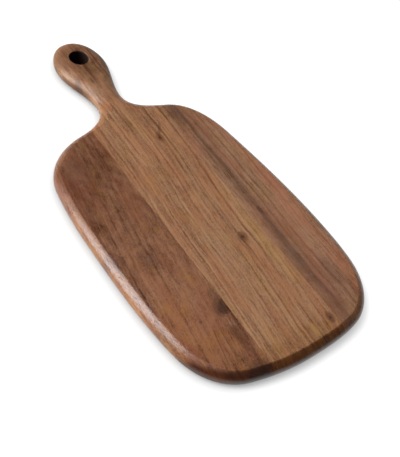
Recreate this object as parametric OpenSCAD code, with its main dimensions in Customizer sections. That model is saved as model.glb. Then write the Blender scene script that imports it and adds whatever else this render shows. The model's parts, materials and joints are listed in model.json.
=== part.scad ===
/* [Board] */
// Length over all, from the end to the tip of the handle
board_l = 470; // [400:1:560]
// Thickness of the glued planks
board_t = 19; // [16:0.5:26]
// From the handle's centre line to the widest point of the left side
left_reach = 122; // [100:0.5:140]
// From the handle's centre line to the widest point of the right side
right_reach = 116; // [100:0.5:140]

/* [Planks] */
// From the handle's centre line to the left glue joint, half way along the board
left_joint = 45.5; // [36:0.5:60]
// From the handle's centre line to the right glue joint, half way along the board
right_joint = 45; // [36:0.5:60]
// Angle between the handle's centre line and the glue joints, which lean to the left towards the tip
joint_turn = 0.55; // [0:0.05:1.5]

/* [Handle] */
// Width of the handle's head at its widest
head_w = 60; // [58:1:80]
// From the tip down to the head's widest point
head_drop = 39; // [32:0.5:48]
// Width of the neck at its narrowest
neck_w = 32.5; // [32:0.5:44]
// From the tip down to the neck's narrowest point
neck_drop = 101; // [92:1:120]

/* [Hanging hole] */
// Diameter of the hole
hole_d = 23; // [16:0.5:23]
// From the tip down to the hole's centre
hole_drop = 32; // [30:0.5:40]
// Radius that eases each rim of the hole
rim_r = 1; // [0.5:0.1:1.5]

/* [Edge] */
// How far the round-over reaches in from the body's side, at the shoulder
side_edge = 7.5; // [4:0.5:10]
// How far the round-over reaches in from the body's end
end_edge = 10; // [4:0.5:12]
// How far the round-over reaches in from the handle's edge
handle_edge = 15; // [8:0.5:15]
// Where the body's round-over starts on its arc: 0 is tangent to the face, more leaves a crisper line
edge_break = 30; // [0:1:40]
// Height of the upright band that is left between the two round-overs
edge_flat = 2; // [1:0.5:6]

/* [Smoothness] */
// Points on each stretch of the outline
stretch_n = 10; // [6:1:12]
// Steps across each round-over
edge_n = 5; // [3:1:6]

/* [Hidden] */
// How far a cut runs past what it cuts
overrun = 1;
// Steps round the hole
round_fn = 64;
// From the end up to the neck's narrowest point
body_l = board_l - neck_drop;
// Height of the round-over on each face
edge_h = (board_t - edge_flat) / 2;
// The body's outline on each side, as knots from the shoulder down to the end. A knot is its reach from
// the centre line as a share of the side's reach, its height as a share of body_l, and the outline's
// heading there in degrees, where 0 points to the right, -90 points to the end and -180 to the left.
left_body_shares = [
    [0.47, 0.903, -12],
    [0.957, 0.757, -81],
    [1, 0.56, -90],
    [0.94, 0.183, -99.5],
    [0.55, 0.026, -165]
];
right_body_shares = [
    [0.49, 0.913, -18],
    [0.868, 0.737, -81],
    [1, 0.3, -90],
    [0.98, 0.178, -97],
    [0.56, 0.013, -167]
];

// The knots of the handle, which is the same on both sides: tip, head and neck
handle_knots = [
    [0, board_l, 0],
    [head_w / 2, board_l - head_drop, -90],
    [neck_w / 2, body_l, -90]
];
// The middle of the end
end_knot = [0, 0, -180];

// All the knots of one side, from the tip round to the middle of the end
function side_knots(body_shares, reach) = concat(
    handle_knots,
    [for (k = body_shares) [k[0] * reach, k[1] * body_l, k[2]]],
    [end_knot]
);

function heading(angle) = [cos(angle), sin(angle)];
function place(knot) = [knot[0], knot[1]];

// Length of the two arms of a curve between knots, which makes a round arc where the knots allow one
function arm(a, b) = norm(place(b) - place(a)) / (3 * pow(cos((a[2] - b[2]) / 4), 2));

// The point at s, from 0 to 1, along the cubic curve from knot a to knot b
function curve_point(a, b, s) =
    pow(1 - s, 3) * place(a)
    + 3 * pow(1 - s, 2) * s * (place(a) + arm(a, b) * heading(a[2]))
    + 3 * (1 - s) * pow(s, 2) * (place(b) - arm(a, b) * heading(b[2]))
    + pow(s, 3) * place(b);

// One side's points, from the tip round to the middle of the end
function side_points(knots) = concat(
    [for (i = [0:len(knots) - 2], j = [0:stretch_n - 1]) curve_point(knots[i], knots[i + 1], j / stretch_n)],
    [place(end_knot)]
);

function mirrored(points) = [for (p = points) [-p[0], p[1]]];

right_side = side_points(side_knots(right_body_shares, right_reach));
left_side = mirrored(side_points(side_knots(left_body_shares, left_reach)));
// Points on one side, which are as many on the other
side_n = len(right_side);
// The whole outline, clockwise from the tip. Tip and end are each in it once.
outline = concat(right_side, [for (i = [side_n - 2:-1:1]) left_side[i]]);
outline_n = len(outline);

// Where the handle's softer edge has faded into the body's
shoulder_y = left_body_shares[0][1] * body_l;

function smooth(s) = s <= 0 ? 0 : s >= 1 ? 1 : s * s * (3 - 2 * s);
// How far the body's edge has turned into the handle's at the height y along the board, from 0 to 1
function handle_share(y) = smooth((y - shoulder_y) / (body_l - shoulder_y));
// How far the round-over reaches in there
function body_reach(y) = end_edge + (side_edge - end_edge) * min(y / shoulder_y, 1);
function edge_reach(y) = body_reach(y) + (handle_edge - body_reach(y)) * handle_share(y);
// The angle on its arc at which it starts from the flat face
function arc_start(y) = edge_break * (1 - handle_share(y));
// Step k of the round-over there: how far it lies in from the outline, and off the flat face
function edge_spot(y, k) =
    let(start = arc_start(y), a = start + (90 - start) * k / edge_n)
    [edge_reach(y) * (1 - sin(a)) / (1 - sin(start)), edge_h * (1 - cos(a) / cos(start))];

// Direction into the wood, square to the outline at point i
function inward(i) = let(
    before = outline[(i + outline_n - 1) % outline_n],
    after = outline[(i + 1) % outline_n],
    along = (after - before) / norm(after - before)
) [along[1], -along[0]];
inward_at = [for (i = [0:outline_n - 1]) inward(i)];

// One line of points round the board, at step k of the underside's or the top face's round-over
function ring(k, top) = [
    for (i = [0:outline_n - 1])
        let(
            spot = edge_spot(outline[i][1], k),
            p = outline[i] + inward_at[i] * spot[0]
        )
        [p[0], p[1], top ? board_t - spot[1] : spot[1]]
];
// The lines from the underside's flat face up to the top's
rings = concat(
    [for (k = [0:edge_n]) ring(k, false)],
    [for (k = [edge_n:-1:0]) ring(k, true)]
);
ring_n = len(rings);

// Number of the point that faces right point i across the board
function across(i) = (outline_n - i) % outline_n;

// The faces of a flat side: strips across the board, from the tip to the end
function cap_faces(first, top) = [
    for (i = [0:side_n - 2])
        let(
            strip = i == 0 ? [0, 1, across(1)]
                : i == side_n - 2 ? [i, i + 1, across(i)]
                : [i, i + 1, across(i + 1), across(i)],
            numbers = [for (n = strip) n + first]
        )
        top ? numbers : [for (k = [len(numbers) - 1:-1:0]) numbers[k]]
];

// The faces between two rings, each quad as two triangles
wall_faces = [
    for (r = [0:ring_n - 2], i = [0:outline_n - 1], half = [0, 1])
        let(
            a = r * outline_n + i,
            b = r * outline_n + (i + 1) % outline_n,
            c = b + outline_n,
            d = a + outline_n
        )
        half == 0 ? [a, b, c] : [a, c, d]
];

// The glued planks, sawn to the outline and rounded over all the way round
module blank() {
    polyhedron(
        points = [for (line = rings) each line],
        faces = concat(
            cap_faces(0, false),
            wall_faces,
            cap_faces((ring_n - 1) * outline_n, true)
        )
    );
}

// The board between two planes, which stand at the glue joints' angle
module stave(from_x, to_x) {
    intersection() {
        blank();
        translate([0, board_l / 2, -overrun])
            rotate([0, 0, joint_turn])
                translate([from_x, -board_l, 0])
                    cube([to_x - from_x, 2 * board_l, board_t + 2 * overrun]);
    }
}

// What the drill and the rim's round-over take away, at the hole's centre
module hole_cut() {
    translate([0, 0, -overrun])
        cylinder(d = hole_d, h = board_t + 2 * overrun, $fn = round_fn);
    rim_cut();
    translate([0, 0, board_t])
        mirror([0, 0, 1])
            rim_cut();
}

// The wood between a sharp rim and a rounded one
module rim_cut() {
    rotate_extrude($fn = round_fn)
        difference() {
            square([hole_d / 2 + rim_r, rim_r]);
            translate([hole_d / 2 + rim_r, rim_r])
                circle(r = rim_r, $fn = round_fn);
        }
}

// Moves a piece from the handle's centre line and the end to the origin, under the board's middle
module seat() {
    translate([(left_reach - right_reach) / 2, -board_l / 2, 0])
        children();
}

module left_stave() {
    color([0.36, 0.22, 0.15])
        seat()
            stave(-board_l, -left_joint);
}

module centre_stave() {
    color([0.52, 0.36, 0.24])
        seat()
            difference() {
                stave(-left_joint, right_joint);
                translate([0, board_l - hole_drop, 0])
                    hole_cut();
            }
}

module right_stave() {
    color([0.44, 0.3, 0.21])
        seat()
            stave(right_joint, board_l);
}

left_stave();
centre_stave();
right_stave();
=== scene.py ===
import json
import math
from collections import namedtuple
import bmesh
import bpy
from mathutils import Matrix, Vector


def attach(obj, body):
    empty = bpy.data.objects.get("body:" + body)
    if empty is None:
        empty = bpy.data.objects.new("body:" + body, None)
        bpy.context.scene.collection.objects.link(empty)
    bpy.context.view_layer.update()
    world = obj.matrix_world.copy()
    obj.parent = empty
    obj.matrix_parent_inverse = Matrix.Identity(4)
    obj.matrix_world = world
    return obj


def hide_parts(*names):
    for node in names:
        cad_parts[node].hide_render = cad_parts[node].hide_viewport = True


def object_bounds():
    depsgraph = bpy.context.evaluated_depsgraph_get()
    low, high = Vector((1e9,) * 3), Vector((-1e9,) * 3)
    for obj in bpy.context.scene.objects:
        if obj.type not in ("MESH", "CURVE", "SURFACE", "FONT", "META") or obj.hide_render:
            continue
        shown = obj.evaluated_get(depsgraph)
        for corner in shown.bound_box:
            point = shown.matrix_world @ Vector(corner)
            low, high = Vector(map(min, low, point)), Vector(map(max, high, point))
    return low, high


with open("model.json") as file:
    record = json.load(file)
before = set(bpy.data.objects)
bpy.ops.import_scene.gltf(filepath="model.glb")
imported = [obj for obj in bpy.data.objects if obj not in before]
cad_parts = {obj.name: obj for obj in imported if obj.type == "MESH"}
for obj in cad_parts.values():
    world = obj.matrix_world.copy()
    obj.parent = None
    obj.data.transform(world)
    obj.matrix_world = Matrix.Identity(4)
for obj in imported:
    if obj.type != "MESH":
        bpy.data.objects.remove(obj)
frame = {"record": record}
cad_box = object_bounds()

MM = 0.001

# Sizes that the frame gives
BOX_LOW = Vector(cad_box[0])
BOX_HIGH = Vector(cad_box[1])
LENGTH = BOX_HIGH.y - BOX_LOW.y
THICKNESS = BOX_HIGH.z - BOX_LOW.z
HANGING_HOLE = frame["record"]["mounts"][0]
HOLE_RADIUS = HANGING_HOLE["dims"]["r_mm"] * MM
RIM = (THICKNESS - HANGING_HOLE["dims"]["length_mm"] * MM) / 2
AXIS_X = HANGING_HOLE["pos_m"][0]
HOLE_Y = HANGING_HOLE["pos_m"][1]
END_Y = BOX_LOW.y
LEFT_REACH = AXIS_X - BOX_LOW.x
RIGHT_REACH = BOX_HIGH.x - AXIS_X

# The glue joints: how far from the handle's centre line at the board's middle, and their turn from it
LEFT_JOINT = 45.5 * MM
RIGHT_JOINT = 45 * MM
JOINT_TURN = math.radians(0.55)

# Sizes of the handle and of the round-over
HEAD_WIDTH = 60 * MM
HEAD_DROP = 39 * MM
NECK_WIDTH = 32.5 * MM
NECK_DROP = 101 * MM
BODY_LENGTH = LENGTH - NECK_DROP
SIDE_EDGE = 7.5 * MM
END_EDGE = 10 * MM
HANDLE_EDGE = 15 * MM
EDGE_FLAT = 2 * MM
EDGE_HEIGHT = (THICKNESS - EDGE_FLAT) / 2
EDGE_BREAK = math.radians(30)

# The body's outline from the shoulder to the end: reach and height as shares, and heading in degrees
LEFT_BODY_SHARES = [
    (0.47, 0.903, -12),
    (0.957, 0.757, -81),
    (1.0, 0.56, -90),
    (0.94, 0.183, -99.5),
    (0.55, 0.026, -165),
]
RIGHT_BODY_SHARES = [
    (0.49, 0.913, -18),
    (0.868, 0.737, -81),
    (1.0, 0.3, -90),
    (0.98, 0.178, -97),
    (0.56, 0.013, -167),
]
SHOULDER_Y = LEFT_BODY_SHARES[0][1] * BODY_LENGTH

# How finely the shapes are stepped, how far a cut runs past the wood, and which angles stay crisp
OUTLINE_STEPS = 24
EDGE_STEPS = 12
HOLE_STEPS = 96
RIM_STEPS = 5
OVERRUN = 2 * MM
SHARP = math.radians(40)


def deselect_all():
    if bpy.context.object and bpy.context.object.mode != "OBJECT":
        bpy.ops.object.mode_set(mode="OBJECT")
    bpy.ops.object.select_all(action="DESELECT")


def only(piece):
    deselect_all()
    piece.select_set(True)
    bpy.context.view_layer.objects.active = piece


def side_knots(shares, reach):
    handle = [
        (0, LENGTH, 0),
        (HEAD_WIDTH / 2, LENGTH - HEAD_DROP, -90),
        (NECK_WIDTH / 2, BODY_LENGTH, -90),
    ]
    body = [(across * reach, along * BODY_LENGTH, turn) for across, along, turn in shares]
    return handle + body + [(0, 0, -180)]


def arm(start, end):
    """Length of the two arms of a curve between knots, which makes a round arc where they allow one."""
    chord = math.dist(start[:2], end[:2])
    return chord / (3 * math.cos(math.radians(start[2] - end[2]) / 4) ** 2)


def spline_knots():
    """The knots of the whole outline, clockwise from the tip, each with the lengths of its two arms."""
    right = side_knots(RIGHT_BODY_SHARES, RIGHT_REACH)
    left = side_knots(LEFT_BODY_SHARES, LEFT_REACH)
    knots = [[right[0], arm(left[0], left[1]), arm(right[0], right[1])]]
    for before, knot, after in zip(right, right[1:], right[2:]):
        knots.append([knot, arm(before, knot), arm(knot, after)])
    knots.append([right[-1], arm(right[-2], right[-1]), arm(left[-2], left[-1])])
    for before, knot, after in reversed(list(zip(left, left[1:], left[2:]))):
        x, y, turn = knot
        knots.append([(-x, y, -turn), arm(knot, after), arm(before, knot)])
    return knots


def drawn_outline():
    """The outline as a closed line on the bench, drawn with a curve through its knots."""
    knots = spline_knots()
    deselect_all()
    bpy.ops.curve.primitive_bezier_circle_add()
    curve = bpy.context.object
    spline = curve.data.splines[0]
    spline.bezier_points.add(len(knots) - len(spline.bezier_points))
    for point, (knot, arm_in, arm_out) in zip(spline.bezier_points, knots):
        turn = math.radians(knot[2])
        way = Vector((math.cos(turn), math.sin(turn), 0))
        point.handle_left_type = "FREE"
        point.handle_right_type = "FREE"
        point.co = (knot[0], knot[1], 0)
        point.handle_left = point.co - way * arm_in
        point.handle_right = point.co + way * arm_out
    spline.resolution_u = OUTLINE_STEPS
    curve.data.dimensions = "2D"
    curve.data.fill_mode = "NONE"
    only(curve)
    bpy.ops.object.convert(target="MESH")
    return bpy.context.object


def raise_walls(piece, rings):
    """Extrudes a closed line ring by ring, each ring a list of places, and closes both ends."""
    stations = piece.data.attributes.new("station", "INT", "POINT")
    stations.data.foreach_set("value", range(len(piece.data.vertices)))
    only(piece)
    bpy.ops.object.mode_set(mode="EDIT")
    bpy.ops.mesh.select_mode(type="EDGE")
    bpy.ops.mesh.select_all(action="SELECT")
    for number, ring in enumerate(rings):
        if number:
            bpy.ops.mesh.extrude_edges_move()
        mesh = bmesh.from_edit_mesh(piece.data)
        station = mesh.verts.layers.int["station"]
        for vert in mesh.verts:
            if vert.select:
                vert.co = ring[vert[station]]
        bmesh.update_edit_mesh(piece.data)
        if not number:
            bpy.ops.mesh.edge_face_add()
            bpy.ops.mesh.select_all(action="DESELECT")
            mesh = bmesh.from_edit_mesh(piece.data)
            for edge in mesh.edges:
                edge.select = True
    bpy.ops.mesh.edge_face_add()
    bpy.ops.mesh.select_all(action="SELECT")
    bpy.ops.mesh.normals_make_consistent(inside=False)
    bpy.ops.object.mode_set(mode="OBJECT")


def smooth(s):
    s = min(max(s, 0), 1)
    return s * s * (3 - 2 * s)


def handle_share(y):
    """How far the edge has turned from the body's into the handle's, at the height y along the board."""
    return smooth((y - SHOULDER_Y) / (BODY_LENGTH - SHOULDER_Y))


def edge_spot(y, step):
    """How far in from the outline, and how far down from the face, a step of the round-over lies."""
    share = handle_share(y)
    start = EDGE_BREAK * (1 - share)
    turn = start + (math.pi / 2 - start) * step / EDGE_STEPS
    body_reach = END_EDGE + (SIDE_EDGE - END_EDGE) * min(y / SHOULDER_Y, 1)
    reach = body_reach + (HANDLE_EDGE - body_reach) * share
    inside = reach * (1 - math.sin(turn)) / (1 - math.sin(start))
    return inside, EDGE_HEIGHT * (1 - math.cos(turn) / math.cos(start))


def sawn_blank():
    """The glued planks as one slab, sawn to the outline and rounded over all the way round."""
    blank = drawn_outline()
    line = [vert.co.copy() for vert in blank.data.vertices]
    inward = []
    for before, after in zip(line[-1:] + line[:-1], line[1:] + line[:1]):
        along = (after - before).normalized()
        inward.append(Vector((along.y, -along.x, 0)))
    rings = []
    for step in range(EDGE_STEPS + 1):
        ring = []
        for spot, way in zip(line, inward):
            inside, drop = edge_spot(spot.y, step)
            ring.append(spot + way * inside + Vector((0, 0, drop)))
        rings.append(ring)
    for ring in reversed(rings[:]):
        rings.append([Vector((spot.x, spot.y, THICKNESS - spot.z)) for spot in ring])
    raise_walls(blank, rings)
    blank.data.transform(Matrix.Translation((AXIS_X, END_Y, 0)))
    return blank


def hole_cutter():
    """What the drill and the easing of its rims take away."""
    deselect_all()
    bpy.ops.mesh.primitive_circle_add(vertices=HOLE_STEPS, radius=1)
    cutter = bpy.context.object
    ways = [vert.co.copy() for vert in cutter.data.vertices]
    section = [(HOLE_RADIUS + RIM, -OVERRUN)]
    for step in range(RIM_STEPS + 1):
        turn = math.pi / 2 * step / RIM_STEPS
        section.append((HOLE_RADIUS + RIM * (1 - math.sin(turn)), RIM * (1 - math.cos(turn))))
    section += [(radius, THICKNESS - height) for radius, height in reversed(section)]
    rings = []
    for radius, height in section:
        rings.append([Vector((way.x * radius, way.y * radius, height)) for way in ways])
    raise_walls(cutter, rings)
    cutter.data.transform(Matrix.Translation((AXIS_X, HOLE_Y, 0)))
    return cutter


def cut_away(piece, joint, away):
    """Saws a piece at a glue joint, and drops what lies on the side that away points to."""
    only(piece)
    bpy.ops.object.mode_set(mode="EDIT")
    bpy.ops.mesh.select_all(action="SELECT")
    bpy.ops.mesh.bisect(
        plane_co=(AXIS_X + joint, 0, 0),
        plane_no=(away * math.cos(JOINT_TURN), away * math.sin(JOINT_TURN), 0),
        use_fill=True,
        clear_outer=True,
    )
    bpy.ops.object.mode_set(mode="OBJECT")


def stave(blank, name, from_joint=None, to_joint=None):
    """One plank of the blank, between two glue joints."""
    only(blank)
    bpy.ops.object.duplicate()
    piece = bpy.context.object
    piece.name = name
    piece.data.name = name
    if from_joint is not None:
        cut_away(piece, from_joint, -1)
    if to_joint is not None:
        cut_away(piece, to_joint, 1)
    return piece


def drill(piece):
    """Drills the hanging hole through a plank."""
    cutter = hole_cutter()
    only(piece)
    hole = piece.modifiers.new("hole", "BOOLEAN")
    hole.object = cutter
    hole.operation = "DIFFERENCE"
    hole.solver = "EXACT"
    bpy.ops.object.modifier_apply(modifier=hole.name)
    only(cutter)
    bpy.ops.object.delete()


def sand(piece):
    """Smooth shading that keeps the flat faces flat and the cut edges crisp."""
    for name in [layer.name for layer in piece.data.attributes if layer.name == "station"]:
        piece.data.attributes.remove(piece.data.attributes[name])
    only(piece)
    bpy.ops.object.shade_smooth_by_angle(angle=SHARP)
    flats = piece.modifiers.new("flats", "WEIGHTED_NORMAL")
    flats.keep_sharp = True
    bpy.ops.object.modifier_apply(modifier=flats.name)


# The camera, at the photograph's angle
CAMERA_AZIMUTH = math.radians(-51.484)
CAMERA_HEIGHT_ANGLE = math.radians(51.199)
CAMERA_ROLL = math.radians(20.059)
CAMERA_DISTANCE = 778.94 * MM
CAMERA_AIM = Vector((0.55, -56.83, 0)) * MM
CAMERA_NEAREST = 10 * MM
LENS = 58.29


def place_camera():
    back = Vector((
        math.sin(CAMERA_AZIMUTH) * math.cos(CAMERA_HEIGHT_ANGLE),
        -math.cos(CAMERA_AZIMUTH) * math.cos(CAMERA_HEIGHT_ANGLE),
        math.sin(CAMERA_HEIGHT_ANGLE),
    ))
    level = Vector((0, 0, 1)).cross(back).normalized()
    upright = back.cross(level)
    across = level * math.cos(CAMERA_ROLL) + upright * math.sin(CAMERA_ROLL)
    up = upright * math.cos(CAMERA_ROLL) - level * math.sin(CAMERA_ROLL)
    camera = bpy.data.objects.new("camera", bpy.data.cameras.new("camera"))
    camera.data.lens = LENS
    camera.data.clip_start = CAMERA_NEAREST
    turn = Matrix((across, up, back)).transposed().to_4x4()
    camera.matrix_world = Matrix.Translation(CAMERA_AIM + back * CAMERA_DISTANCE) @ turn
    bpy.context.collection.objects.link(camera)
    bpy.context.scene.camera = camera


def soft_light(name, way, distance, width, height, power):
    """A soft light that faces the board from the direction it is given."""
    lamp = bpy.data.lights.new(name, "AREA")
    lamp.shape = "RECTANGLE"
    lamp.size = width
    lamp.size_y = height
    lamp.energy = power
    light = bpy.data.objects.new(name, lamp)
    way = Vector(way).normalized()
    turn = way.to_track_quat("Z", "Y").to_matrix().to_4x4()
    light.matrix_world = Matrix.Translation(way * distance) @ turn
    bpy.context.collection.objects.link(light)


def tint(red, green, blue):
    """A colour as a paint card gives it, from 0 to 255, made linear."""
    def linear(part):
        part = part / 255
        return part / 12.92 if part <= 0.04045 else ((part + 0.055) / 1.055) ** 2.4
    return (linear(red), linear(green), linear(blue), 1)


# One layer of soft noise: how fast it changes across, along and through the plank, per metre, how many
# finer layers it carries, and how strong they are
Layer = namedtuple("Layer", "across along through detail roughness", defaults=(1, 0.5))

# The middle of what the noise gives out, and of the tones between the shade and the light
NOISE_MIDDLE = 0.5
TONE_MIDDLE = 0.5


class Reading:
    """What a node gives out at each place. Sums of readings add the nodes that work them out."""

    def __init__(self, socket):
        self.socket = socket

    def worked(self, operation, *values):
        """What a sum gives out, in a node of its own."""
        node = self.socket.node.id_data.nodes.new("ShaderNodeMath")
        node.operation = operation
        for socket, value in zip(node.inputs, values):
            join(socket, value)
        return Reading(node.outputs[0])

    def __add__(self, other):
        return self.worked("ADD", self, other)

    def __sub__(self, other):
        return self.worked("SUBTRACT", self, other)

    def __mul__(self, other):
        return self.worked("MULTIPLY", self, other)

    def size(self):
        return self.worked("ABSOLUTE", self)

    def root(self):
        return self.worked("SQRT", self)

    def fade(self, none, full):
        """0 where the reading is at none, 1 where it is at full, and soft between."""
        node = self.socket.node.id_data.nodes.new("ShaderNodeMapRange")
        node.interpolation_type = "SMOOTHSTEP"
        join(node.inputs["Value"], self)
        join(node.inputs["From Min"], none)
        join(node.inputs["From Max"], full)
        return Reading(node.outputs["Result"])


def join(socket, value):
    """Sets a socket to a value, or links it to a reading."""
    if isinstance(value, Reading):
        socket.node.id_data.links.new(value.socket, socket)
    else:
        socket.default_value = value


class Finish:
    """A finish made of nodes, which knows the place and the facing of each spot it lies on."""

    def __init__(self, name):
        self.material = bpy.data.materials.new(name)
        self.material.use_nodes = True
        self.nodes = self.material.node_tree.nodes
        self.nodes.clear()
        coordinates = self.nodes.new("ShaderNodeTexCoord")
        self.place = Reading(coordinates.outputs["Object"])
        self.x, self.y, self.z = self.parts(self.place)
        self.facing = Reading(coordinates.outputs["Normal"])

    def parts(self, vector):
        node = self.nodes.new("ShaderNodeSeparateXYZ")
        join(node.inputs[0], vector)
        return [Reading(socket) for socket in node.outputs]

    def point(self, x, y, z):
        node = self.nodes.new("ShaderNodeCombineXYZ")
        for socket, value in zip(node.inputs, (x, y, z)):
            join(socket, value)
        return Reading(node.outputs[0])

    def cloud(self, place, layer, shift=(0, 0, 0)):
        """Soft noise about 0 over a place. The shift gives each plank, and each mark, its own noise."""
        stretched = self.nodes.new("ShaderNodeVectorMath")
        stretched.operation = "MULTIPLY_ADD"
        join(stretched.inputs[0], place)
        join(stretched.inputs[1], (layer.across, layer.along, layer.through))
        join(stretched.inputs[2], shift)
        noise = self.nodes.new("ShaderNodeTexNoise")
        join(noise.inputs["Vector"], Reading(stretched.outputs[0]))
        join(noise.inputs["Scale"], 1)
        join(noise.inputs["Detail"], layer.detail)
        join(noise.inputs["Roughness"], layer.roughness)
        return Reading(noise.outputs[0]) - NOISE_MIDDLE

    def mix(self, share, first, second, how="MIX"):
        node = self.nodes.new("ShaderNodeMix")
        node.data_type = "RGBA"
        node.blend_type = how
        join(node.inputs[0], share)
        join(node.inputs[6], first)
        join(node.inputs[7], second)
        return Reading(node.outputs[2])

    def out_from_hole(self):
        """How far a place lies from the middle line of the hanging hole."""
        side = self.x - AXIS_X
        up = self.y - HOLE_Y
        return (side * side + up * up).root()

    def show(self, shader):
        out = self.nodes.new("ShaderNodeOutputMaterial")
        join(out.inputs["Surface"], Reading(shader.outputs[0]))


# The room, in metres. The floor and the low wall far round it are white paper, whose own light the eye
# sees. That light dims close to the board as a painted contact shadow, and under the hole the paper's
# light
# and grey are out as painted shade: they come back between these two shares of the hole's radius.
FLOOR_SIZE = 40
BACKDROP_DISTANCE = 15
BACKDROP_HEIGHT = 1.3
PAPER_GREY = 0.31
PAPER_GLOW = 0.87
CONTACT_REACH = 14 * MM
CONTACT_SHADE = 0.95
CONTACT_RAYS = 8
FLOOR_HOLE_SHADE_SHARES = (1.4, 1.6)
ROOM_LIGHT = 0.1


def white_paper():
    """White paper, with its own light for the eye; painted shade dims it close to the board and darkens it
    under its hole.
    """
    paper = Finish("white paper")
    # Painted shade under the hole: the paper's light and grey are out there.
    dark, clear = (HOLE_RADIUS * share for share in FLOOR_HOLE_SHADE_SHARES)
    clear_of_floor_shade = paper.out_from_hole().fade(dark, clear)
    # Painted contact shadow: the paper's own light dims close to the board.
    contact = paper.nodes.new("ShaderNodeAmbientOcclusion")
    contact.samples = CONTACT_RAYS
    join(contact.inputs["Distance"], CONTACT_REACH)
    contact_shade = (Reading(contact.outputs["AO"]) - 1) * CONTACT_SHADE + 1
    rays = paper.nodes.new("ShaderNodeLightPath")
    seen = Reading(rays.outputs["Is Camera Ray"]) + Reading(rays.outputs["Is Glossy Ray"])
    seen = seen + Reading(rays.outputs["Is Transmission Ray"])
    glow = paper.nodes.new("ShaderNodeEmission")
    join(glow.inputs["Strength"], seen * clear_of_floor_shade * contact_shade * PAPER_GLOW)
    matt = paper.nodes.new("ShaderNodeBsdfDiffuse")
    join(matt.inputs["Color"], clear_of_floor_shade * PAPER_GREY)
    both = paper.nodes.new("ShaderNodeAddShader")
    join(both.inputs[0], Reading(matt.outputs[0]))
    join(both.inputs[1], Reading(glow.outputs[0]))
    paper.show(both)
    return paper.material


def lay_floor(paper):
    deselect_all()
    bpy.ops.mesh.primitive_plane_add(size=FLOOR_SIZE)
    floor = bpy.context.object
    floor.name = "floor"
    floor.data.materials.append(paper)


def stand_backdrop(paper):
    """A low wall all round, so that low views end in white too."""
    deselect_all()
    bpy.ops.mesh.primitive_cylinder_add(
        vertices=HOLE_STEPS, radius=BACKDROP_DISTANCE, depth=BACKDROP_HEIGHT, end_fill_type="NOTHING",
    )
    backdrop = bpy.context.object
    backdrop.name = "backdrop"
    backdrop.data.transform(Matrix.Translation((0, 0, BACKDROP_HEIGHT / 2)))
    backdrop.data.materials.append(paper)


def light_room():
    world = bpy.data.worlds.new("room")
    world.use_nodes = True
    background = world.node_tree.nodes["Background"]
    join(background.inputs["Color"], (1, 1, 1, 1))
    join(background.inputs["Strength"], ROOM_LIGHT)
    bpy.context.scene.world = world


# How the growth rings stray from a straight line: over a hand's width, over a finger's, and over a few
# fibres, each with how far
STRAYING = (
    (Layer(9, 6, 9), 8 * MM),
    (Layer(40, 30, 40), 3 * MM),
    (Layer(120, 100, 120), 1.2 * MM),
)

# The layers of the figure, over the fibres' own coordinates
FIBRES = Layer(1500, 60, 1500, 2, 0.6)
THREADS = Layer(470, 40, 0, 3, 0.65)
RINGS = Layer(170, 6, 0)
BANDS = Layer(290, 7, 0)
GRIT = Layer(850, 420, 850)
PORES = Layer(1900, 130, 1900)
LINE_BREAKS = Layer(90, 16, 0)
STREAK_RIM = Layer(300, 12, 0)

# The layers that cross the fibres, over the board's coordinates
PATCHES = Layer(28, 11, 28, 2)
MOTTLE = Layer(150, 80, 150, 2, 0.6)
WARM_CLOUDS = Layer(60, 14, 60, 2)
GOLDEN_CLOUDS = Layer(60, 30, 60)
MARK_RIM = Layer(150, 60, 150, 2)
KNOT_RIM = Layer(700, 700, 700)

# Where the noise of these layers starts to show, and where it shows in full
PORES_SHOW = (0.12, 0.24)
WARM_SHOWS = (-0.12, 0.2)
GOLDEN_SHOWS = (0.02, 0.22)

# What keeps the warm and the golden stretches apart from each other and from the patches
WARM_SHIFT = 7
GOLDEN_SHIFT = 5

# How strongly noise breaks up the lines and the streaks
LINE_UNEVENNESS = 2.5
STREAK_UNEVENNESS = 2

# What changes along the board: from where, to where, and by how much. Towards the end the grain is
# livelier by what each plank says, and the handle is calmer, more mottled and more worn than the body.
LIVELY_END = (50 * MM, -120 * MM)
CALM_HANDLE = (110 * MM, 150 * MM, 0.35)
MOTTLED_HANDLE = (110 * MM, 140 * MM, 0.6)
WORN_HANDLE = (120 * MM, 150 * MM, 0.16)

# The marks of each kind: how ragged their rim is, where they end and are full as shares of their half
# sizes squared, and whether they cover the grain or stain it
MARKS = {
    "spots": (1.5, 1, 0, "MIX"),
    "flames": (0.5, 1.1, 0.45, "MIX"),
    "stains_and_painted_light": (1.5, 1, 0, "MULTIPLY"),
}

# Knots: how the fibres bend round one, and its ragged halo and core. Each has its length as a share of its
# width, and ends where the squared distance from the middle is so many squared sizes of the knot.
BEND_LENGTH_SHARE = 2.5
BEND_END = 14
BEND = 0.5
HALO_LENGTH_SHARE = math.sqrt(2)
HALO_RAGGED = 1.5
HALO_END = 9
HALO_COVER = 0.65
CORE_LENGTH_SHARE = 1.195
CORE_RAGGED = 0.5
CORE_END = 1.1
CORE_COVER = 0.9
CORE_COLOUR = tint(46, 24, 16)

# The end grain shows where the wood faces the end, and by the skew a little more where it also faces left.
# Painted light shows where the wood faces left below the shoulder, and brighter still on the low flank
# further down.
END_FACING = (-0.15, -0.4)
END_SKEW = 0.05
FLANK_LIGHT_FACING = (-0.2, -0.6)
FLANK_LIGHT_STRETCH = (50 * MM, 0)
LOW_FLANK_LIGHT = (16.5 * MM, 11.5 * MM)

# The hole's wall, darkened by painted shade from this depth below each face
HOLE_WALL_SHADE_DEPTH = (0.2 * MM, 3 * MM)
HOLE_WALL_SHADE = tint(26, 6, 1)

# What the colour is multiplied by in the golden stretches
GOLD = (1, 1.01, 0.78, 1)

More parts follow.
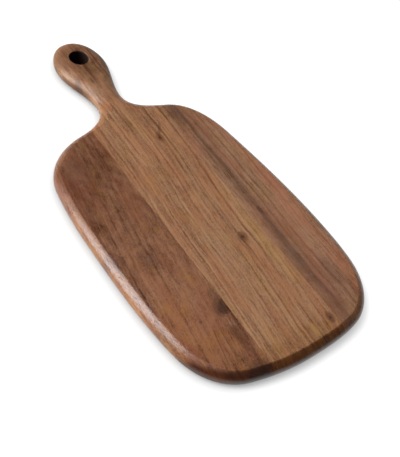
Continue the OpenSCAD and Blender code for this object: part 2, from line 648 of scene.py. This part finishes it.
# The oiled surface: how dull it is all over and what adds to that, how dark the pores are, how much it
# shines, and how deep its relief is
ROUGHNESS = 0.31
GRAIN_ROUGHNESS = 0.15
PORE_ROUGHNESS = 0.2
HOLE_WALL_ROUGHNESS = 0.15
PORE_SHADE = 0.45
SHINE = 0.55
RELIEF_STRENGTH = 0.6
RELIEF_DEPTH = 0.2 * MM
FIBRE_RELIEF = 0.6
THREAD_RELIEF = 0.5
MOTTLE_RELIEF = 0.5


class Walnut(Finish):
    """Oiled walnut, cut from one plank, with its own colours, growth rings, streaks, marks and knots."""

    def __init__(self, name, plank):
        super().__init__(name)
        self.plank = plank
        self.seed_along = (0, plank["seed"], 0)
        self.seed_across = (plank["seed"], 0, 0)
        self.across = self.across_fibres()
        self.grain = self.point(self.across, self.y, self.z)
        self.fibres = self.cloud(self.grain, FIBRES, self.seed_along)
        self.threads = self.cloud(self.grain, THREADS, self.seed_along)
        self.patches = self.cloud(self.place, PATCHES, self.seed_across)
        self.mottle = self.cloud(self.place, MOTTLE, self.seed_across)
        self.pores = self.cloud(self.grain, PORES, self.seed_along).fade(*PORES_SHOW)
        self.wall_shade = self.painted_wall_shade()
        shade = self.nodes.new("ShaderNodeBsdfPrincipled")
        join(shade.inputs["Base Color"], self.pores_ends_and_painted_light(self.knotted(self.marked(self.plain_colour()))))
        join(shade.inputs["Roughness"], self.roughness())
        join(shade.inputs["Specular IOR Level"], SHINE)
        join(shade.inputs["Normal"], self.relief())
        self.show(shade)

    def across_fibres(self):
        """The fibres' own coordinate: across the growth rings, which drift and stray along the plank."""
        across = self.x + (self.z - THICKNESS) * self.plank["lean"] - self.y * self.plank["slant"]
        for from_y, to_y, shift in self.plank["drift"]:
            across = across - self.y.fade(from_y * MM, to_y * MM) * (shift * MM)
        for layer, reach in STRAYING:
            across = across + self.cloud(self.place, layer, self.seed_along) * reach
        for knot_x, knot_y, size, _ in self.plank["knots"]:
            out = self.out_from(knot_x, knot_y, size, size * BEND_LENGTH_SHARE)
            across = across - (self.x - knot_x * MM) * out.fade(BEND_END, 0) * BEND
        return across

    def out_from(self, mark_x, mark_y, half_x, half_y, lean=0):
        """How far a place lies from the middle of a mark, squared: 1 at the half sizes."""
        up = self.y - mark_y * MM
        side = (self.x - mark_x * MM - up * lean) * (1 / (half_x * MM))
        up = up * (1 / (half_y * MM))
        return side * side + up * up

    def changed_along(self, start, full, amount):
        return self.y.fade(start, full) * amount

    def tone(self):
        """How light the grain is: about 0 in the shade and 1 in the light."""
        plank = self.plank
        lines = 0
        for middle, half, depth in plank["lines"]:
            lines = (self.across - middle * MM).size().fade(half * MM, 0) * depth + lines
        breaks = self.cloud(self.grain, LINE_BREAKS, self.seed_along)
        rings = self.cloud(self.grain, RINGS, self.seed_along)
        bands = self.cloud(self.grain, BANDS, self.seed_along)
        grit = self.cloud(self.grain, GRIT, self.seed_across)
        tone = self.fibres * plank["fibres"] + self.threads * plank["threads"]
        tone = tone + rings * plank["rings"] + grit * plank["grit"] + bands * plank["bands"]
        tone = tone - lines * (breaks * LINE_UNEVENNESS + 1)
        lively = self.y.fade(*LIVELY_END) * plank["lively"]
        tone = tone * (lively - self.changed_along(*CALM_HANDLE) + 1)
        mottle = self.mottle * (self.changed_along(*MOTTLED_HANDLE) + plank["mottle"])
        tone = tone + self.patches * plank["patches"] + mottle + TONE_MIDDLE
        for mark_x, mark_y, half_x, half_y, lift in plank["lifts"]:
            tone = self.out_from(mark_x, mark_y, half_x, half_y).fade(1, 0) * lift + tone
        return tone

    def plain_colour(self):
        """The grain in the plank's colours, with its warm and golden stretches."""
        plank = self.plank
        seed = plank["seed"]
        colour = self.mix(self.tone().fade(*plank["tones"]), plank["shade"], plank["light"])
        warm = self.cloud(self.place, WARM_CLOUDS, (WARM_SHIFT + seed, 0, 0)).fade(*WARM_SHOWS)
        colour = self.mix(warm * plank["warmth"], colour, plank["warm"])
        golden = self.cloud(self.place, GOLDEN_CLOUDS, (seed, GOLDEN_SHIFT, 0)).fade(*GOLDEN_SHOWS)
        return self.mix(golden * plank["golden"], colour, GOLD, "MULTIPLY")

    def marked(self, colour):
        """Streaks along the fibres, and soft marks that each lie at one place."""
        for middle, half, amount, hue in self.plank["streaks"]:
            rim = self.cloud(self.grain, STREAK_RIM, (0, middle, 0)) * STREAK_UNEVENNESS + 1
            mask = (self.across - middle * MM).size().fade(half * MM, 0) * rim
            colour = self.mix(mask * amount, colour, hue, "MULTIPLY")
        for kind, (raggedness, end, full, how) in MARKS.items():
            for mark_x, mark_y, half_x, half_y, lean, amount, hue in self.plank[kind]:
                out = self.out_from(mark_x, mark_y, half_x, half_y, lean)
                ragged = self.cloud(self.place, MARK_RIM, (0, mark_x, 0)) * raggedness
                colour = self.mix((out + ragged).fade(end, full) * amount, colour, hue, how)
        return colour

    def knotted(self, colour):
        """Knots: a soft halo in the plank's shade round a dark core."""
        for knot_x, knot_y, size, strength in self.plank["knots"]:
            ragged = self.cloud(self.place, KNOT_RIM)
            halo = self.out_from(knot_x, knot_y, size, size * HALO_LENGTH_SHARE) + ragged * HALO_RAGGED
            halo = halo.fade(HALO_END, 0) * (HALO_COVER * strength)
            colour = self.mix(halo, colour, self.plank["shade"])
            core = self.out_from(knot_x, knot_y, size, size * CORE_LENGTH_SHARE) + ragged * CORE_RAGGED
            core = core.fade(CORE_END, 0) * (CORE_COVER * strength)
            colour = self.mix(core, colour, CORE_COLOUR)
        return colour

    def pores_ends_and_painted_light(self, colour):
        """Pores, the darker end grain, painted light on the left flank and painted shade on the wall of
        the hole.
        """
        plank = self.plank
        colour = self.mix(self.pores * PORE_SHADE, colour, plank["shade"], "MULTIPLY")
        facing_x, facing_y, _ = self.parts(self.facing)
        end = (facing_y + facing_x * END_SKEW).fade(*END_FACING)
        colour = self.mix(end, colour, plank["end"], "MULTIPLY")
        # Painted light: the left flank below the shoulder is made brighter and warmer, and its lower part
        # much brighter.
        flank_light = facing_x.fade(*FLANK_LIGHT_FACING) * self.y.fade(*FLANK_LIGHT_STRETCH)
        colour = self.mix(flank_light, colour, plank["flank_light"], "MULTIPLY")
        colour = self.mix(flank_light * self.z.fade(*LOW_FLANK_LIGHT), colour, plank["low_flank_light"], "MULTIPLY")
        # Painted shade on the wall of the hole.
        return self.mix(self.wall_shade, colour, HOLE_WALL_SHADE)

    def painted_wall_shade(self):
        """1 on the wall of the hole, where painted shade darkens it, and 0 from its rims outwards."""
        depth = (self.z - THICKNESS / 2).size() * -1 + THICKNESS / 2
        wall = self.out_from_hole().fade(HOLE_RADIUS + RIM, HOLE_RADIUS + RIM / 2)
        return wall * depth.fade(*HOLE_WALL_SHADE_DEPTH)

    def roughness(self):
        grain = (self.fibres + self.mottle + self.patches) * GRAIN_ROUGHNESS
        worn = self.changed_along(*WORN_HANDLE)
        return grain + self.pores * PORE_ROUGHNESS + worn + self.wall_shade * HOLE_WALL_ROUGHNESS + ROUGHNESS

    def relief(self):
        bump = self.nodes.new("ShaderNodeBump")
        join(bump.inputs["Strength"], RELIEF_STRENGTH)
        join(bump.inputs["Distance"], RELIEF_DEPTH)
        height = self.fibres * FIBRE_RELIEF + self.threads * THREAD_RELIEF + self.mottle * MOTTLE_RELIEF
        join(bump.inputs["Height"], height - self.pores)
        return Reading(bump.outputs[0])


# The planks, with places and sizes in millimetres. The seed gives each its own noise. Lean and slant turn
# its growth rings through the thickness and along the board, and drift swings them aside: from y, to y and
# how far. Tones are the tones at which the shade and the light show in full. Warmth and golden say how
# strong those stretches are, and end is what the colour of the end grain is multiplied by. The flank and
# low
# flank colours are painted light: what the colour of the left flank, and of its lower part, is multiplied
# by to brighten and warm it. The next seven keys are how strong each layer is, and lively is how much
# stronger the grain is at the end. A line has its middle across the fibres, its half width and its depth,
# and a streak its middle, half width, amount and colour. Spots, flames and stains have x, y, half width,
# half length, lean, amount and colour; on the light plank one spot is painted shade and one stain a
# painted highlight. Lifts have x, y, half width, half length and change of tone. Knots have x, y, size and
# strength.
DARK_PLANK = {
    "seed": 3,
    "lean": 0.5,
    "slant": 0.13,
    "drift": [],
    "tones": (-0.25, 1.25),
    "light": tint(149, 104, 75),
    "shade": tint(69, 29, 10),
    "warm": tint(132, 78, 52),
    "warmth": 0.35,
    "golden": 0.9,
    "end": (0.24, 0.135, 0.035, 1),
    # Painted light on the left flank: brighter and warmer, and much brighter low down.
    "flank_light": (1.16, 1.05, 0.7, 1),
    "low_flank_light": (1.5, 1.85, 2.4, 1),
    "fibres": 0.4,
    "grit": 0.6,
    "threads": 0.55,
    "rings": 0.4,
    "bands": 0.3,
    "patches": 1.1,
    "mottle": 0.9,
    "lively": 0.9,
    "lines": [
        (-100, 1.8, 0.06), (-92, 1.8, 0.07), (-84.8, 1.5, 0.06), (-80, 1.4, 0.07), (-74, 1.8, 0.09),
        (-67.8, 1.7, 0.09), (-60.8, 1.8, 0.1), (-55, 1.4, 0.06), (-47.6, 1.7, 0.09), (-41, 1.5, 0.06),
        (-36, 1.7, 0.09), (-28, 1.8, 0.07), (-21.5, 1.8, 0.09),
    ],
    "streaks": [],
    "spots": [
        (-86, 52, 16, 26, 0, 0.3, tint(88, 60, 50)),
        (-80, -74, 13, 15, 0, 0.35, tint(88, 58, 46)),
        (-62, -157, 7, 8, 0.6, 0.5, tint(150, 104, 66)),
        (-51, -187, 7, 19, 0, 0.7, tint(88, 50, 27)),
        (-55, -222, 16, 12, 0, 0.75, tint(84, 54, 36)),
        (-73, -187, 1, 26, 0.23, 0.55, tint(76, 44, 28)),
        (-64, -183, 0.9, 20, 0.12, 0.45, tint(80, 48, 30)),
        (-63, 80, 5, 8, 0, 0.3, tint(120, 96, 52)),
    ],
    "flames": [
        (-43, -149, 15, 13, 0.5, 0.55, tint(72, 40, 18)),
        (-42, -152, 11, 9, 0.4, 0.55, tint(50, 26, 10)),
    ],
    "lifts": [
        (-80, -145, 36, 70, 0.3), (-82, 55, 44, 60, -0.16), (-48, 25, 14, 75, -0.16),
        (-84, -70, 22, 30, -0.08), (-50, -110, 12, 28, 0.25), (-65, -105, 8, 42, -0.16),
        (-52, -208, 12, 14, -0.2), (-103, 25, 12, 70, -0.25), (-104, -62, 8, 26, 0.15),
    ],
    "stains_and_painted_light": [
        (-99, -183, 8, 15, 0.2, 0.6, (0.8, 0.6, 0.6, 1)),
        (-92, -160, 24, 60, 0, 0.9, (1, 0.94, 0.74, 1)),
        (-113, -58, 10, 12, 0, 0.7, (0.66, 0.62, 0.8, 1)),
        (-117, 14, 8, 8, 0, 0.5, (0.7, 0.62, 0.66, 1)),
        (-66, -190, 20, 34, 0, 0.8, (1, 0.98, 0.74, 1)),
        (-70, -222, 60, 26, 0, 0.9, (0.97, 0.92, 0.8, 1)),
        (-82, -165, 38, 64, 0, 0.9, (1, 0.94, 1, 1)),
        (-100, -182, 12, 18, 0, 0.7, (0.85, 0.8, 0.75, 1)),
        (-121, -58, 9, 13, 0, 1, (0.62, 0.54, 0.56, 1)),
        (-118, -152, 10, 18, 0, 1, (0.76, 0.74, 0.7, 1)),
    ],
    "knots": [],
}
LIGHT_PLANK = {
    "seed": 11,
    "lean": 0.35,
    "slant": 0,
    "drift": [(60, -90, -10), (-90, -240, -10)],
    "tones": (-0.45, 0.95),
    "light": tint(168, 125, 91),
    "shade": tint(80, 38, 16),
    "warm": tint(156, 98, 64),
    "warmth": 0.35,
    "golden": 0.5,
    "end": (0.36, 0.24, 0.075, 1),
    "flank_light": (1, 1, 1, 1),
    "low_flank_light": (1, 1, 1, 1),
    "fibres": 0.5,
    "grit": 0.8,
    "threads": 0.9,
    "rings": 0.6,
    "bands": 0.9,
    "patches": 0.3,
    "mottle": 0.5,
    "lively": 0,
    "lines": [
        (-34.2, 1.5, 0.15), (-28.5, 1.5, 0.15), (-24, 1.4, 0.15), (-19.6, 1.8, 0.24), (-13.3, 1.8, 0.26),
        (-8.4, 1.5, 0.22), (-2.5, 1.4, 0.16), (1.8, 1.4, 0.14), (9.5, 1.7, 0.19), (14.8, 1.4, 0.16),
        (20.6, 1.8, 0.28), (27.7, 2, 0.28), (32.2, 1.5, 0.24), (38, 1.4, 0.1), (43.8, 2.2, 0.41),
        (50, 1.4, 0.13), (56, 1.5, 0.15),
    ],
    "streaks": [],
    "spots": [
        (44, -214, 5, 9, 0, 0.5, tint(96, 64, 56)),
        (22, -216, 5, 12, 0, 0.5, tint(172, 128, 74)),
        (8, -90, 5, 10, 0, 0.3, tint(150, 124, 78)),
        (27, 67, 2.6, 15, 0.62, 0.55, tint(92, 58, 36)),
        (23.4, -95, 8, 8, 0, 0.4, tint(108, 74, 48)),
        (-23, 207, 8, 15, 0.3, 0.5, tint(118, 76, 42)),
        (-9, 122, 7, 9, -0.3, 0.35, tint(156, 92, 50)),
        # Painted shade: a dark patch on the lower flank of the handle, below its highlight.
        (-21, 160, 5, 20, 0.3, 0.6, tint(82, 44, 24)),
        (-34, 105, 8, 14, 0.3, 0.5, tint(150, 90, 52)),
    ],
    "flames": [],
    "lifts": [
        (8, 200, 38, 54, -0.55), (15, 95, 46, 42, -0.08), (-38, 50, 14, 70, -0.22),
        (20, 15, 46, 60, -0.12), (40, -110, 8, 60, 0.16), (0, -226, 70, 30, -0.16),
        (-10, -105, 16, 50, 0.1),
    ],
    "stains_and_painted_light": [
        (41, -115, 10, 75, 0, 0.8, (1, 1.03, 0.88, 1)),
        (-8, -105, 15, 50, 0, 0.8, (0.94, 1, 1.06, 1)),
        (0, -224, 80, 30, 0, 0.9, (0.97, 0.96, 0.85, 1)),
        (6, 195, 12, 26, 0, 0.8, (0.92, 0.97, 0.8, 1)),
        (0, 200, 40, 50, 0, 0.9, (0.96, 0.97, 0.97, 1)),
        # Painted highlight: lighter, paler colour along the handle's left flank, where the window's
        # highlight lies.
        (-21, 168, 10, 44, 0.25, 0.9, (1.06, 1.15, 1.2, 1)),
        (-10, 124, 16, 20, 0, 0.9, (0.92, 0.9, 0.9, 1)),
        (-25, 205, 9, 18, 0, 0.9, (0.9, 0.9, 0.82, 1)),
        (-10, 214, 14, 12, 0, 0.8, (0.82, 0.9, 0.9, 1)),
        (2, 150, 18, 22, 0, 0.9, (0.82, 0.82, 0.84, 1)),
        (10, 178, 16, 22, 0, 0.8, (0.94, 0.96, 0.84, 1)),
    ],
    "knots": [(20.6, 56.4, 2, 0.75), (23.4, -95.2, 2.2, 0.8), (43.8, -213.6, 2, 0.6)],
}
STREAKED_PLANK = {
    "seed": 23,
    "lean": -0.4,
    "slant": 0,
    "drift": [(60, 0, 1.2), (-60, -130, -2.6), (-165, -200, 1.6)],
    "tones": (-0.25, 1.25),
    "light": tint(171, 131, 103),
    "shade": tint(101, 65, 38),
    "warm": tint(154, 96, 72),
    "warmth": 0.4,
    "golden": 0.5,
    "end": (0.62, 0.5, 0.33, 1),
    "flank_light": (1, 1, 1, 1),
    "low_flank_light": (1, 1, 1, 1),
    "fibres": 0.5,
    "grit": 0.7,
    "threads": 0.7,
    "rings": 0.36,
    "bands": 0.36,
    "patches": 0.5,
    "mottle": 0.55,
    "lively": 0,
    "lines": [
        (52, 1.3, 0.13), (57, 1.3, 0.11), (71.4, 2.2, 0.33), (75, 1.3, 0.11), (80.3, 2, 0.28),
        (88, 1.4, 0.17), (92, 1.3, 0.13), (97, 1.5, 0.22), (104, 1.5, 0.17),
    ],
    "streaks": [
        (62, 14, 0.62, (0.64, 0.6, 0.62, 1)),
        (62.8, 5, 0.55, (0.46, 0.4, 0.4, 1)),
        (100, 16, 0.6, (1.15, 1, 0.96, 1)),
    ],
    "spots": [
        (96, -90, 12, 45, 0, 0.35, tint(176, 116, 88)),
        (62.5, -75, 2.5, 7, 0, 0.5, tint(58, 40, 36)),
        (58, -140, 9, 60, 0, 0.3, tint(84, 60, 46)),
        (82, -172, 7, 26, 0, 0.35, tint(94, 64, 50)),
        (60, 80, 9, 22, 0, 0.35, tint(88, 62, 54)),
    ],
    "flames": [],
    "lifts": [
        (56, 85, 8, 42, -0.22), (56, -208, 8, 22, -0.25), (98, -205, 14, 22, -0.22),
        (94, -140, 16, 30, 0.2), (74, -150, 9, 70, -0.15),
    ],
    "stains_and_painted_light": [(78, -180, 24, 45, 0, 0.7, (0.96, 0.9, 0.96, 1))],
    "knots": [],
}

place_camera()
paper = white_paper()
lay_floor(paper)
stand_backdrop(paper)
light_room()
soft_light("window", way=(-0.715, 0.33, 0.62), distance=2.8, width=1.06, height=3, power=124)
soft_light("top light", way=(-0.3, 0.1, 0.95), distance=2.5, width=2, height=2, power=11)

blank = sawn_blank()
left = stave(blank, "left_stave_wood", to_joint=-LEFT_JOINT)
centre = stave(blank, "centre_stave_wood", -LEFT_JOINT, RIGHT_JOINT)
right = stave(blank, "right_stave_wood", from_joint=RIGHT_JOINT)
drill(centre)
only(blank)
bpy.ops.object.delete()

for piece, node, slot, plank in (
    (left, "left_stave", "dark_walnut", DARK_PLANK),
    (centre, "centre_stave", "light_walnut", LIGHT_PLANK),
    (right, "right_stave", "streaked_walnut", STREAKED_PLANK),
):
    sand(piece)
    piece.data.materials.clear()
    piece.data.materials.append(Walnut(slot, plank).material)
    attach(piece, "root")
    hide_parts(node)

bpy.context.scene.view_settings.view_transform = "Standard"
